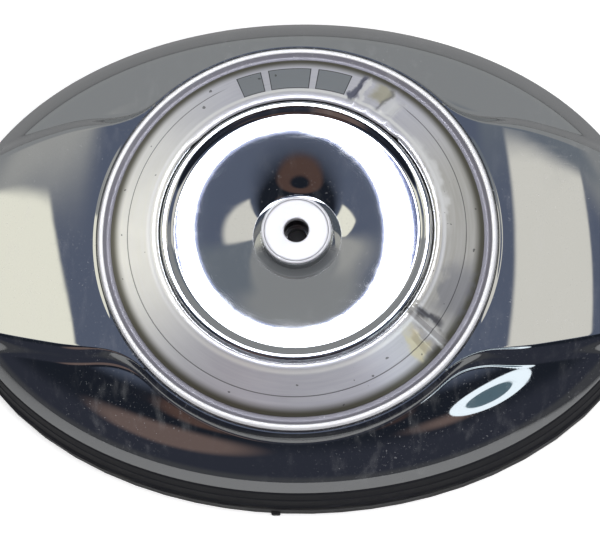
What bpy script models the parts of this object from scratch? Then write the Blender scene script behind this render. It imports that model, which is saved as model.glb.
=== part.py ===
"""Oval air filter housing for a V-twin engine: a chromed cover over a pleated element on a black backplate.

Metres, +Z up. The housing lies on its mounting side: X runs along the oval, +Z points out of the
cover's face, and the origin is on the mounting plane under the middle of the oval.
"""

import math

import bmesh
import bpy
from mathutils import Vector

MM = 0.001
GAP = 0.3 * MM  # air between pieces that touch or seal on each other
RAYS = 56  # section planes round the oval pieces

# Cover outline: the oval's outer edge, and the bevel that runs round it
HALF_LENGTH = 128.5 * MM
HALF_WIDTH = 90.0 * MM
BEVEL_LONG = 4.4 * MM  # bevel width at the two ends
BEVEL_SHORT = 2.8 * MM  # bevel width at front and back
RIM_Z = 20.5 * MM  # lower edge of the bevel
BEVEL_Z = 24.3 * MM  # upper edge of the bevel
SHEET = 1.4 * MM  # thickness of the cover's sheet
SKIRT_Z = 13.5 * MM  # bottom edge of the cover's skirt

# Cover face: round drum, bead, seat for the trim ring, shallow dish, centre disc
HOLE_R = 4.4 * MM
DISC_R = 12.5 * MM
DISC_Z = 44.3 * MM
DISH_FOOT_R = 13.2 * MM
DISH_FOOT_Z = 38.9 * MM  # foot of the disc, the dish's lowest ring
DISH_RIM_R = 43.4 * MM
DISH_RIM_Z = 45.6 * MM
CREST_R = 47.2 * MM
CREST_Z = 47.2 * MM
BEAD_R = 70.4 * MM
BEAD_WIDTH = 1.5 * MM  # the bead's top, a narrow cone that leans inwards
BEAD_Z = 41.0 * MM
DRUM_R = 72.6 * MM
SHOULDER_Z = 39.6 * MM  # face level just outside the bead

# Wings: the raised bands that run from the drum to both ends
WING_FROM = 60.0 * MM
WING_HALF = 43.0 * MM
WING_DROP = 14.6 * MM
DOME_RISE = 12.5 * MM  # how far the sloping dome rises from the bevel to the drum

# Trim ring on its conical seat
RING_IN = 49.4 * MM
RING_OUT = 66.8 * MM
RING_THICK = 0.8 * MM
RING_IN_Z = 47.2 * MM
RING_TOP_R = 51.0 * MM
RING_TOP_Z = 47.7 * MM
RING_OUT_Z = 40.4 * MM

# Backplate
PLATE_GROW = 4.2 * MM  # how far the plate's rim stands outside the cover's edge
PLATE_RIM_Z = 8.0 * MM
FLOOR_LOW = 3.0 * MM
FLOOR_TOP = 5.5 * MM
INTAKE_R = 23.0 * MM
STACK_R = 26.0 * MM
STACK_Z = 17.0 * MM
FLANGE_R = 38.0 * MM
FLANGE_Z = 2.0 * MM
SCREW_CIRCLE = 31.5 * MM  # radius of the throttle body's three screws
POST_CIRCLE = 36.0 * MM  # radius of the three posts that carry the element and bracket
POST_R = 5.0 * MM
WALL_INSET = 5.0 * MM  # how far the rim wall's inside lies within the cover's oval
POST_HOLE_R = 2.9 * MM
THROTTLE_HOLE_R = 3.5 * MM
WINDOW_OUTER = (119.5 * MM, 81.0 * MM)  # oval that bounds the air inlets outside
WINDOW_INNER = (98.0 * MM, 72.0 * MM)

# Breathers: a hollow bolt, its washer and seal, and a short hose to the intake stack
BREATHER_X = 52.0 * MM
BREATHER_Y = 12.0 * MM
BREATHER_BOSS_R = 10.5 * MM
BREATHER_HOLE_R = 6.3 * MM
WASHER_IN, WASHER_OUT = 6.6 * MM, 10.0 * MM
WASHER_THICK = 1.2 * MM
BOLT_BORE_R = 1.9 * MM
BOLT_THREAD_R = 5.9 * MM
BOLT_TIP_Z = 0.4 * MM
NIPPLE_R = 2.6 * MM
HOSE_BORE_R = 2.9 * MM
HOSE_R = 4.4 * MM

# Filter element
ELEMENT = (92.0 * MM, 66.0 * MM)
ELEMENT_INNER = (70.0 * MM, 44.0 * MM)
CAP_LOW = (FLOOR_TOP + GAP, FLOOR_TOP + GAP + 3.0 * MM)
CAP_TOP = (28.5 * MM, 31.5 * MM)
PLEATS = 56

# Bracket
STRAP = 2.0 * MM
STRAP_WIDTH = 16.0 * MM
PLATFORM_Z = 35.0 * MM
PLATFORM_R = 15.0 * MM


def clear_scene():
    for old in list(bpy.data.objects):
        bpy.data.objects.remove(old, do_unlink=True)


def make_material(name, colour, roughness, metallic):
    material = bpy.data.materials.new(name)
    material.use_nodes = True
    shader = material.node_tree.nodes["Principled BSDF"]
    shader.inputs["Base Color"].default_value = (*colour, 1.0)
    shader.inputs["Roughness"].default_value = roughness
    shader.inputs["Metallic"].default_value = metallic
    return material


def finish(name, bm, material, sharp=40.0, hidden=False):
    """Turns a bmesh into the named object, shaded smooth except at its sharp edges."""
    bmesh.ops.recalc_face_normals(bm, faces=bm.faces)
    mesh = bpy.data.meshes.new(name)
    bm.to_mesh(mesh)
    bm.free()
    mesh.shade_smooth()
    mesh.set_sharp_from_angle(angle=math.radians(sharp))
    obj = bpy.data.objects.new(name, mesh)
    bpy.context.scene.collection.objects.link(obj)
    if material:
        mesh.materials.append(material)
    if hidden:
        obj.hide_render = True
        obj.display_type = "WIRE"
    return obj


def loft(sections):
    """A closed ring: each section is a closed loop of points, and each joins the next one."""
    bm = bmesh.new()
    loops = [[bm.verts.new(point) for point in section] for section in sections]
    for here, there in zip(loops, loops[1:] + loops[:1]):
        for i in range(len(here)):
            j = (i + 1) % len(here)
            bm.faces.new((here[i], there[i], there[j], here[j]))
    return bm


def turned(profile, sides=24, centre=(0.0, 0.0)):
    """A lathe-turned ring from a closed (radius, height) profile that stays off the axis."""
    sections = []
    for k in range(sides):
        angle = 2 * math.pi * k / sides
        cos, sin = math.cos(angle), math.sin(angle)
        sections.append([(centre[0] + r * cos, centre[1] + r * sin, z) for r, z in profile])
    return loft(sections)


def turned_solid(profile, sides=16, centre=(0.0, 0.0)):
    """A lathe-turned solid. Its profile is the axis's lower height, (radius, height) pairs, the upper height."""
    bottom_z, rim, top_z = profile
    bm = bmesh.new()
    bottom = bm.verts.new((*centre, bottom_z))
    top = bm.verts.new((*centre, top_z))
    rings = []
    for r, z in rim:
        ring = []
        for k in range(sides):
            angle = 2 * math.pi * k / sides
            ring.append(bm.verts.new((centre[0] + r * math.cos(angle), centre[1] + r * math.sin(angle), z)))
        rings.append(ring)
    for k in range(sides):
        n = (k + 1) % sides
        bm.faces.new((bottom, rings[0][n], rings[0][k]))
        bm.faces.new((top, rings[-1][k], rings[-1][n]))
        for low, high in zip(rings, rings[1:]):
            bm.faces.new((low[k], low[n], high[n], high[k]))
    return bm


def prism(outline, low, high):
    """A straight-sided block from a convex or simple outline of (x, y) points."""
    bm = bmesh.new()
    bottom = bm.faces.new([bm.verts.new((x, y, low)) for x, y in outline])
    grown = bmesh.ops.extrude_face_region(bm, geom=[bottom])["geom"]
    tops = [v for v in grown if isinstance(v, bmesh.types.BMVert)]
    bmesh.ops.translate(bm, verts=tops, vec=(0, 0, high - low))
    return bm


def regular(sides, radius, centre=(0.0, 0.0), turn=0.0):
    step = 2 * math.pi / sides
    return [
        (centre[0] + radius * math.cos(turn + k * step), centre[1] + radius * math.sin(turn + k * step))
        for k in range(sides)
    ]


def boolean(obj, cutter, operation="DIFFERENCE"):
    modifier = obj.modifiers.new(cutter.name, "BOOLEAN")
    modifier.operation = operation
    modifier.solver = "EXACT"
    modifier.object = cutter


def helper(name, bm):
    return finish(name, bm, None, hidden=True)


def reach(angle, half_length, half_width):
    """Distance from the centre to an oval's edge along a ray."""
    return 1.0 / math.hypot(math.cos(angle) / half_length, math.sin(angle) / half_width)


def ray_point(angle, distance, z):
    return (distance * math.cos(angle), distance * math.sin(angle), z)


def ease(t):
    t = min(max(t, 0.0), 1.0)
    return t * t * (3 - 2 * t)


def smooth_min(a, b, width):
    h = min(max(0.5 + 0.5 * (b - a) / width, 0.0), 1.0)
    return b + (a - b) * h - width * h * (1 - h)


def dish_height(r):
    """Height of the dish, a horn that is steep beside the disc and flatter towards the rim."""
    share = (r - DISH_FOOT_R) / (DISH_RIM_R - DISH_FOOT_R)
    return DISH_FOOT_Z + (DISH_RIM_Z - DISH_FOOT_Z) * (1.5 * share**0.72 - 0.5 * share**1.1)


def outer_face(x, y):
    """Height of the chromed face outside the drum: wings, their rounded shoulders and the dome."""
    along, across = abs(x), abs(y)
    past = max(0.0, along - WING_FROM) / (62.0 * MM)
    crown = 1.8 * MM * (across / WING_HALF) ** 2 * ease(past)
    plateau = SHOULDER_Z - WING_DROP * past**2.2 - crown
    level = math.hypot(x / (HALF_LENGTH - BEVEL_LONG), y / (HALF_WIDTH - BEVEL_SHORT))
    dome = BEVEL_Z + DOME_RISE * (1 - math.exp(-max(0.0, 1 - level) / 0.12))
    half = WING_HALF - 9.0 * MM * (max(0.0, along - WING_FROM) / (47.0 * MM)) ** 1.5
    outside = smooth_min(across - half, math.hypot(x, y) - DRUM_R, 9.0 * MM)
    on_wing = ease((along - 50.0 * MM) / (35.0 * MM))
    wall = (2.6 + 4.2 * on_wing) * MM
    t = min(max(outside / wall, 0.0), 1.0)
    fall = (1 - (1 - t) ** 2.4) * (1 - on_wing) + ease(t) * on_wing
    return min(plateau, plateau + (dome - plateau) * fall)


def ring_top(r):
    """Height of the trim ring's upper face on its cone."""
    share = (r - RING_TOP_R) / (RING_OUT - RING_TOP_R)
    return RING_TOP_Z + (RING_OUT_Z - RING_TOP_Z) * share


def cover_section(angle):
    """One cut through the cover's sheet, outer face first, then back along the inside."""
    seat = RING_THICK + GAP
    dish = [(r * MM, dish_height(r * MM)) for r in (15.0, 18.0, 22.0, 30.0)]
    turned_face = [
        (HOLE_R, DISC_Z),
        (DISC_R - 1.2 * MM, DISC_Z),
        (DISC_R - 0.5 * MM, DISC_Z + 0.3 * MM),
        (DISC_R + 0.1 * MM, DISC_Z - 0.1 * MM),
        (DISH_FOOT_R - 0.2 * MM, DISH_FOOT_Z),
        *dish,
        (DISH_RIM_R, DISH_RIM_Z),
        (CREST_R - 1.3 * MM, CREST_Z - 0.1 * MM),
        (CREST_R + 0.6 * MM, CREST_Z),
        (RING_IN - 0.5 * MM, CREST_Z - 1.2 * MM),
        (RING_TOP_R, RING_TOP_Z - seat),
        (RING_OUT + 0.4 * MM, RING_OUT_Z - seat),
        (BEAD_R - 2.0 * MM, RING_OUT_Z - seat),
        (BEAD_R + 0.6 * MM - BEAD_WIDTH, BEAD_Z - 0.25 * MM),
        (BEAD_R + 0.6 * MM, BEAD_Z),
        (BEAD_R + 1.4 * MM, SHOULDER_Z + 0.2 * MM),
    ]
    turned_back = [
        (HOLE_R, DISC_Z),
        (DISC_R - SHEET, DISC_Z),
        (DISC_R - SHEET, DISH_FOOT_Z),
        dish[0],
        dish[2],
        (DISH_RIM_R, DISH_RIM_Z),
        (CREST_R, CREST_Z - 0.3 * MM),
        (RING_TOP_R, RING_TOP_Z - seat),
        (RING_OUT, RING_OUT_Z - seat),
        (BEAD_R, BEAD_Z - 0.6 * MM),
    ]
    edge = reach(angle, HALF_LENGTH - BEVEL_LONG, HALF_WIDTH - BEVEL_SHORT)
    spots = [DRUM_R, DRUM_R + 1.0 * MM, DRUM_R + 2.6 * MM]
    spots += [spots[-1] + (edge - spots[-1]) * share for share in (0.2, 0.4, 0.6, 0.8, 1.0)]
    face = [(r, outer_face(r * math.cos(angle), r * math.sin(angle))) for r in spots]
    rim = reach(angle, HALF_LENGTH, HALF_WIDTH)
    front = turned_face + face + [
        (rim, RIM_Z),
        (rim, RIM_Z - 0.6 * MM),
        (rim - 1.4 * MM, RIM_Z - 0.9 * MM),
        (rim - 1.4 * MM, SKIRT_Z),
    ]
    back = [(r, z - SHEET) for r, z in turned_back + face[:-1]]
    back += [(rim - 2.8 * MM, RIM_Z - 0.9 * MM), (rim - 2.8 * MM, SKIRT_Z)]
    return [ray_point(angle, r, z) for r, z in front + back[::-1]]


def all_rays(count=RAYS):
    return [2 * math.pi * (k + 0.5) / count for k in range(count)]


def oval_ring(outline, count=RAYS):
    """A ring that follows the cover's oval: outline lists (growth over the oval's edge, height)."""
    sections = []
    for angle in all_rays(count):
        section = []
        for grow, z in outline:
            section.append(ray_point(angle, reach(angle, HALF_LENGTH + grow, HALF_WIDTH + grow), z))
        sections.append(section)
    return loft(sections)


def band(outer, inner, low, high, count=48):
    """A flat oval ring between two ovals given by their half axes."""
    sections = []
    for angle in all_rays(count):
        far, near = reach(angle, *outer), reach(angle, *inner)
        corners = ((near, low), (far, low), (far, high), (near, high))
        sections.append([ray_point(angle, r, z) for r, z in corners])
    return loft(sections)


def oval(half_length, half_width, count=48):
    return [ray_point(a, reach(a, half_length, half_width), 0.0)[:2] for a in all_rays(count)]


def build_cover(chrome, aluminium, rubber):
    finish("cover_shell", loft([cover_section(angle) for angle in all_rays()]), chrome, 35)
    ring = [
        (RING_IN, RING_IN_Z),
        (RING_IN + 0.7 * MM, RING_TOP_Z - 0.05 * MM),
        (RING_TOP_R, RING_TOP_Z + 0.1 * MM),
        (RING_TOP_R + 2.0 * MM, ring_top(RING_TOP_R + 2.0 * MM)),
        (RING_OUT, RING_OUT_Z),
        (RING_OUT, RING_OUT_Z - RING_THICK),
        (RING_TOP_R, RING_TOP_Z - RING_THICK),
        (RING_IN, RING_IN_Z - RING_THICK),
    ]
    finish("trim_ring", turned(ring, sides=56), aluminium, 35)
    seal = [
        (-1.1 * MM, RIM_Z - 1.3 * MM),
        (0.0, RIM_Z - 1.3 * MM),
        (0.5 * MM, RIM_Z - 1.9 * MM),
        (2.9 * MM, PLATE_RIM_Z + 1.6 * MM),
        (3.6 * MM, PLATE_RIM_Z + 1.1 * MM),
        (3.5 * MM, PLATE_RIM_Z + GAP),
        (-4.0 * MM, PLATE_RIM_Z + GAP),
        (-4.0 * MM, RIM_Z - 1.8 * MM),
        (-3.1 * MM, RIM_Z - 1.8 * MM),
        (-3.1 * MM, SKIRT_Z - GAP),
        (-1.1 * MM, SKIRT_Z - GAP),
    ]
    finish("cover_seal", oval_ring(seal), rubber, 50)


def build_backplate(black):
    """The cast plate: rim, floor, intake stack, throttle flange, posts, bosses and inlet windows."""
    sections = []
    for angle in all_rays():
        out = reach(angle, HALF_LENGTH + PLATE_GROW, HALF_WIDTH + PLATE_GROW)
        wall = reach(angle, HALF_LENGTH - WALL_INSET, HALF_WIDTH - WALL_INSET)
        section = [
            (INTAKE_R, FLANGE_Z),
            (FLANGE_R, FLANGE_Z),
            (FLANGE_R, FLOOR_LOW),
            (wall, FLOOR_LOW),
            (wall, 0.0),
            (out, 0.0),
            (out, PLATE_RIM_Z),
            (wall, PLATE_RIM_Z),
            (wall, FLOOR_TOP),
            (STACK_R, FLOOR_TOP),
            (STACK_R, STACK_Z - 1.0 * MM),
            (STACK_R + 1.2 * MM, STACK_Z),
            (INTAKE_R + 1.0 * MM, STACK_Z),
            (INTAKE_R, STACK_Z - 2.0 * MM),
        ]
        sections.append([ray_point(angle, r, z) for r, z in section])
    plate = finish("backplate", loft(sections), black, 35)

    for k, (x, y) in enumerate(post_places()):
        post = prism(regular(16, POST_R, (x, y)), FLOOR_TOP - 0.5 * MM, CAP_TOP[0] - GAP)
        boolean(plate, helper(f"post_block_{k + 1}", post), "UNION")
        hole = prism(regular(12, POST_HOLE_R, (x, y)), 10.0 * MM, CAP_TOP[0] + 1 * MM)
        boolean(plate, helper(f"post_hole_{k + 1}", hole))
    for side, sign in (("right", 1), ("left", -1)):
        x, y = sign * BREATHER_X, BREATHER_Y
        boss = prism(regular(20, BREATHER_BOSS_R, (x, y)), FLANGE_Z, FLOOR_TOP - 0.5 * MM)
        boolean(plate, helper(f"breather_boss_{side}", boss), "UNION")
        hole = prism(regular(16, BREATHER_HOLE_R, (x, y)), FLANGE_Z - 1 * MM, FLOOR_TOP + 1 * MM)
        boolean(plate, helper(f"breather_hole_{side}", hole))
        boolean(plate, helper(f"stack_spigot_{side}", spigot(sign)), "UNION")
        for half in (1, -1):
            window = inlet_window(sign, half)
            half_name = "back" if half > 0 else "front"
            boolean(plate, helper(f"inlet_{side}_{half_name}", window))
    for k, (x, y) in enumerate(throttle_places()):
        hole = prism(regular(16, THROTTLE_HOLE_R, (x, y)), FLANGE_Z - 1 * MM, FLOOR_TOP + 1 * MM)
        boolean(plate, helper(f"throttle_hole_{k + 1}", hole))
    tab = [(-9.6, -93.0), (-6.4, -93.0), (-6.4, -94.6), (-6.8, -94.9), (-9.2, -94.9), (-9.6, -94.6)]
    tab_block = prism([(x * MM, y * MM) for x, y in tab], 0.0, 3.0 * MM)
    boolean(plate, helper("drain_tab", tab_block), "UNION")


def post_places():
    return [ray_point(math.radians(a), POST_CIRCLE, 0)[:2] for a in (90, 210, 330)]


def throttle_places():
    return [ray_point(math.radians(a), SCREW_CIRCLE, 0)[:2] for a in (50, 180, 310)]


def breather_line(sign):
    """Centre line of one breather hose, from the intake stack to its hollow bolt."""
    bolt = Vector((sign * BREATHER_X, BREATHER_Y, 14.2 * MM))
    start = Vector((sign * STACK_R * 0.95, STACK_R * 0.2, 12.2 * MM))
    return start, bolt, (bolt - start).normalized()


def rod(start, end, radius, sides=12):
    """A straight round bar between two points."""
    axis = (end - start).normalized()
    side = axis.cross(Vector((0, 0, 1))).normalized()
    up = side.cross(axis)
    bm = bmesh.new()
    rings = []
    for point in (start, end):
        ring = []
        for k in range(sides):
            angle = 2 * math.pi * k / sides
            ring.append(bm.verts.new(point + side * radius * math.cos(angle) + up * radius * math.sin(angle)))
        rings.append(ring)
    bm.faces.new(rings[0][::-1])
    bm.faces.new(rings[1])
    for k in range(sides):
        n = (k + 1) % sides
        bm.faces.new((rings[0][k], rings[0][n], rings[1][n], rings[1][k]))
    return bm


def spigot(sign):
    start, bolt, along = breather_line(sign)
    return rod(start - along * 1.0 * MM, start + along * 7.0 * MM, NIPPLE_R)


def inlet_window(sign, half):
    """A kidney-shaped air inlet through the floor, between the element and the plate's rim."""
    outline = []
    spread = [math.radians(4 + 3 * k) for k in range(9)]
    for angle in spread:
        outline.append(ray_point(angle, reach(angle, *WINDOW_OUTER), 0)[:2])
    for angle in reversed(spread):
        outline.append(ray_point(angle, reach(angle, *WINDOW_INNER), 0)[:2])
    outline = [(sign * x, half * y) for x, y in outline]
    if sign * half < 0:
        outline.reverse()
    return prism(outline, FLOOR_LOW - 1 * MM, FLOOR_TOP + 1 * MM)


def build_throttle_side(steel, paper, rubber):
    gasket = [
        (INTAKE_R + 0.5 * MM, 0.0),
        (FLANGE_R - 0.5 * MM, 0.0),
        (FLANGE_R - 0.5 * MM, FLANGE_Z - GAP),
        (INTAKE_R + 0.5 * MM, FLANGE_Z - GAP),
    ]
    sheet = finish("throttle_gasket", turned(gasket, sides=36), paper)
    for k, place in enumerate(throttle_places()):
        hole = prism(regular(16, 3.8 * MM, place), -1 * MM, FLANGE_Z + 1 * MM)
        boolean(sheet, helper(f"gasket_hole_{k + 1}", hole))
        build_screw(f"throttle_screw_{k + 1}", place, FLOOR_TOP + GAP, 0.4 * MM, steel, 3.0 * MM)
    for side, sign in (("right", 1), ("left", -1)):
        build_breather(side, sign, steel, rubber)


def build_screw(name, place, seat_z, tip_z, material, shank):
    """A button-head socket screw standing on its seat."""
    head = 2.9 * MM
    rim = [
        (shank - 0.5 * MM, tip_z),
        (shank, tip_z + 0.5 * MM),
        (shank, seat_z),
        (shank * 1.85, seat_z),
        (shank * 1.85, seat_z + 0.45 * head),
        (shank * 1.5, seat_z + 0.85 * head),
        (shank * 1.0, seat_z + head),
    ]
    body = turned_solid((tip_z, rim, seat_z + head), 14, place)
    screw = finish(name, body, material, 35)
    socket = prism(regular(6, shank * 0.75, place), seat_z + head - 1.9 * MM, seat_z + head + 1 * MM)
    boolean(screw, helper(f"{name}_socket", socket))


def build_breather(side, sign, steel, rubber):
    """One hollow breather bolt with its washer, seal and short hose to the intake stack."""
    place = (sign * BREATHER_X, BREATHER_Y)
    start, bolt, along = breather_line(sign)
    washer = [(WASHER_IN, FLOOR_TOP + GAP), (WASHER_OUT, FLOOR_TOP + GAP)]
    washer += [(r, z + WASHER_THICK) for r, z in reversed(washer)]
    finish(f"breather_washer_{side}", turned(washer, 16, place), steel)
    seal = [(WASHER_IN, 0.0), (WASHER_OUT, 0.0)]
    seal += [(r, FLANGE_Z - GAP) for r, _ in reversed(seal)]
    finish(f"breather_seal_{side}", turned(seal, 16, place), rubber)
    seat = FLOOR_TOP + 2 * GAP + WASHER_THICK
    profile = [
        (BOLT_BORE_R, BOLT_TIP_Z),
        (BOLT_THREAD_R - 0.7 * MM, BOLT_TIP_Z),
        (BOLT_THREAD_R, BOLT_TIP_Z + 0.7 * MM),
        (BOLT_THREAD_R, seat),
        (9.2 * MM, seat),
        (9.2 * MM, seat + 1.2 * MM),
        (6.6 * MM, seat + 1.2 * MM),
        (6.6 * MM, seat + 9.4 * MM),
        (5.8 * MM, seat + 10.2 * MM),
        (BOLT_BORE_R, seat + 10.2 * MM),
    ]
    hollow = finish(f"breather_bolt_{side}", turned(profile, 16, place), steel, 35)
    nipple = rod(bolt - along * 12.5 * MM, bolt - along * 3.5 * MM, NIPPLE_R)
    boolean(hollow, helper(f"bolt_nipple_{side}", nipple), "UNION")
    hose_from = start + along * 2.6 * MM
    hose_to = bolt - along * 7.6 * MM
    outside = rod(hose_from, hose_to, HOSE_R, 16)
    hose = finish(f"breather_hose_{side}", outside, rubber, 50)
    inside = rod(hose_from - along * MM, hose_to + along * MM, HOSE_BORE_R, 12)
    boolean(hose, helper(f"hose_bore_{side}", inside))


def build_element(cap_material, media, wire, steel):
    finish("element_bottom_cap", band(ELEMENT, ELEMENT_INNER, *CAP_LOW), cap_material)
    top = finish("element_top_cap", prism(oval(*ELEMENT), *CAP_TOP), cap_material)
    for k, place in enumerate(post_places()):
        hole = prism(regular(20, 4.6 * MM, place), CAP_TOP[0] - MM, CAP_TOP[1] + MM)
        boolean(top, helper(f"cap_hole_{k + 1}", hole))
        sleeve = [(2.9 * MM, CAP_TOP[0]), (4.3 * MM, CAP_TOP[0]), (4.3 * MM, CAP_TOP[1]), (2.9 * MM, CAP_TOP[1])]
        finish(f"cap_sleeve_{k + 1}", turned(sleeve, 14, place), steel)
    low, high = CAP_LOW[1] + GAP, CAP_TOP[0] - GAP
    sections = []
    for k in range(2 * PLEATS):
        angle = math.pi * k / PLEATS
        inset = 1.8 * MM if k % 2 else 18.5 * MM
        far = reach(angle, ELEMENT[0] - inset, ELEMENT[1] - inset)
        near = reach(angle, ELEMENT[0] - inset - 1.6 * MM, ELEMENT[1] - inset - 1.6 * MM)
        corners = ((near, low), (far, low), (far, high), (near, high))
        sections.append([ray_point(angle, r, z) for r, z in corners])
    finish("pleated_media", loft(sections), media, 20)
    wide, narrow = ELEMENT
    outer = band((wide - 0.6 * MM, narrow - 0.6 * MM), (wide - 1.3 * MM, narrow - 1.3 * MM), low, high)
    finish("outer_screen", outer, wire)
    wide, narrow = ELEMENT_INNER
    inner = band((wide + 1.3 * MM, narrow + 1.3 * MM), (wide + 0.6 * MM, narrow + 0.6 * MM), low, high)
    finish("inner_screen", inner, wire)


def build_bracket(zinc):
    """Three-armed strap over the element, with the captive nut that the cover's screw goes into."""
    seat = CAP_TOP[1] + GAP
    bracket = finish(
        "cover_bracket", prism(regular(40, PLATFORM_R), PLATFORM_Z, PLATFORM_Z + STRAP), zinc, 30
    )
    side_view = [
        (6.0 * MM, PLATFORM_Z),
        (17.0 * MM, PLATFORM_Z),
        (25.0 * MM, seat),
        (POST_CIRCLE + 8.0 * MM, seat),
        (POST_CIRCLE + 8.0 * MM, seat + STRAP),
        (25.8 * MM, seat + STRAP),
        (17.8 * MM, PLATFORM_Z + STRAP),
        (6.0 * MM, PLATFORM_Z + STRAP),
    ]
    for k, (x, y) in enumerate(post_places()):
        turn = math.atan2(y, x)
        out = Vector((math.cos(turn), math.sin(turn), 0))
        across = Vector((-out.y, out.x, 0)) * STRAP_WIDTH / 2
        bm = bmesh.new()
        start = [bm.verts.new(out * r - across + Vector((0, 0, z))) for r, z in side_view]
        face = bm.faces.new(start)
        grown = bmesh.ops.extrude_face_region(bm, geom=[face])["geom"]
        ends = [v for v in grown if isinstance(v, bmesh.types.BMVert)]
        bmesh.ops.translate(bm, verts=ends, vec=across * 2)
        boolean(bracket, helper(f"bracket_arm_{k + 1}", bm), "UNION")
        hole = prism(regular(16, 3.1 * MM, (x, y)), seat - MM, seat + STRAP + MM)
        boolean(bracket, helper(f"bracket_hole_{k + 1}", hole))
        build_screw(f"bracket_screw_{k + 1}", (x, y), seat + STRAP + GAP, 14.0 * MM, zinc, 2.5 * MM)
    centre = prism(regular(24, 4.4 * MM), PLATFORM_Z - MM, PLATFORM_Z + STRAP + MM)
    boolean(bracket, helper("bracket_centre_hole", centre))
    nut = finish("bracket_nut", prism(regular(6, 7.2 * MM), seat + 0.2 * MM, PLATFORM_Z - GAP), zinc, 30)
    thread = prism(regular(20, 3.6 * MM), seat - MM, PLATFORM_Z + MM)
    boolean(nut, helper("nut_bore", thread))


def main():
    clear_scene()
    chrome = make_material("chrome", (0.55, 0.56, 0.58), 0.06, 1.0)
    aluminium = make_material("brushed_aluminium", (0.72, 0.72, 0.74), 0.3, 1.0)
    rubber = make_material("black_rubber", (0.015, 0.015, 0.017), 0.6, 0.0)
    black = make_material("black_coating", (0.02, 0.02, 0.022), 0.45, 0.0)
    steel = make_material("zinc_plated_steel", (0.6, 0.6, 0.58), 0.35, 1.0)
    paper = make_material("gasket_paper", (0.18, 0.17, 0.15), 0.9, 0.0)
    cap = make_material("moulded_cap", (0.05, 0.05, 0.055), 0.7, 0.0)
    media = make_material("filter_media", (0.75, 0.62, 0.38), 0.9, 0.0)
    wire = make_material("wire_screen", (0.5, 0.5, 0.5), 0.4, 1.0)
    build_cover(chrome, aluminium, rubber)
    build_backplate(black)
    build_throttle_side(steel, paper, rubber)
    build_element(cap, media, wire, steel)
    build_bracket(steel)


main()
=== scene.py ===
# %% [markdown]
# # An oval air filter housing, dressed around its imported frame
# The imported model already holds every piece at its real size. This script keeps that frame
# fixed and builds the looks on top of it: fine surfaces where the chrome would show facets,
# and a procedural finish for every piece. Everything is in metres, in the frame's own axes:
# X runs along the oval, +Z points out of the cover's face, and the plate stands on Z = 0.

# %% Load the frame
import math

import bpy
import numpy as np
from mathutils import Matrix, Vector


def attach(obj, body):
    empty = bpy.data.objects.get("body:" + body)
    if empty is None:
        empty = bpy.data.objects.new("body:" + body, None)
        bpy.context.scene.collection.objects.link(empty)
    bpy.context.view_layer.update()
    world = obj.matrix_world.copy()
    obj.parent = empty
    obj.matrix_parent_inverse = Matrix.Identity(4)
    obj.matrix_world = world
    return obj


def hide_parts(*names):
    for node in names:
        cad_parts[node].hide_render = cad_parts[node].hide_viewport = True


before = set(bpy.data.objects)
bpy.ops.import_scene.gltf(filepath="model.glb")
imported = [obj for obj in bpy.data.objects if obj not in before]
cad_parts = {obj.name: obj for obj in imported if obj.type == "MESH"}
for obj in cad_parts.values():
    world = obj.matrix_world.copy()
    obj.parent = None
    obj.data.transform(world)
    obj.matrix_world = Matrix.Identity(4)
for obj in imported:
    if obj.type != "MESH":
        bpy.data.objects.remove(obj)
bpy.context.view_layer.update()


# %% [markdown]
# ## Driving sizes
# A pressed cover is drawn from a few numbers: the half axes of its oval, the heights of its
# turned rings and the line of its wings. They are written down once, in metres, so that the
# cover, the seal under it and the ring on top of it always meet where the frame says.

# %% Driving sizes
MM = 0.001
GAP = 0.3 * MM
HALF_LENGTH, HALF_WIDTH = 128.5 * MM, 90.0 * MM
BEVEL_LONG, BEVEL_SHORT = 4.4 * MM, 2.8 * MM
RIM_Z, BEVEL_Z, SKIRT_Z = 20.5 * MM, 24.3 * MM, 13.5 * MM
SHEET = 1.4 * MM
HOLE_R, DISC_R, DISC_Z = 4.4 * MM, 12.5 * MM, 44.3 * MM
CREST_R, CREST_Z = 47.2 * MM, 47.2 * MM
BEAD_R, BEAD_Z, DRUM_R, SHOULDER_Z = 70.4 * MM, 41.0 * MM, 72.6 * MM, 39.6 * MM
WING_FROM, WING_HALF, WING_DROP, DOME_RISE = 60.0 * MM, 43.0 * MM, 14.6 * MM, 12.5 * MM
RING_IN, RING_OUT, RING_THICK = 49.4 * MM, 66.8 * MM, 0.8 * MM
RING_IN_Z, RING_TOP_R, RING_TOP_Z, RING_OUT_Z = 47.2 * MM, 51.0 * MM, 47.7 * MM, 40.4 * MM
PLATE_RIM_Z = 8.0 * MM
print("cover is", 2 * HALF_LENGTH / MM, "x", 2 * HALF_WIDTH / MM, "mm over its bevel")

# %% [markdown]
# ## Small tools
# Nearly every piece here is a closed loop of points carried round an axis or round the oval.
# A lofted grid of points does that for all of them, where Blender's Screw modifier could only
# do the round ones. A second tool rounds the corners of an outline, because pressed and
# turned metal never has a knife edge, and a rounded edge is what catches the light.

# %% Loft a grid of points into a closed ring
def new_object(name, mesh, material=None):
    obj = bpy.data.objects.new(name, mesh)
    bpy.context.scene.collection.objects.link(obj)
    if material:
        mesh.materials.append(material)
    return obj


def signed_volume(points, faces):
    a, b, c, d = (points[faces[:, k]] for k in range(4))
    halves = np.cross(b, c), np.cross(c, d)
    return float(sum(np.einsum("ij,ij->i", a, half).sum() for half in halves))


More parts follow.
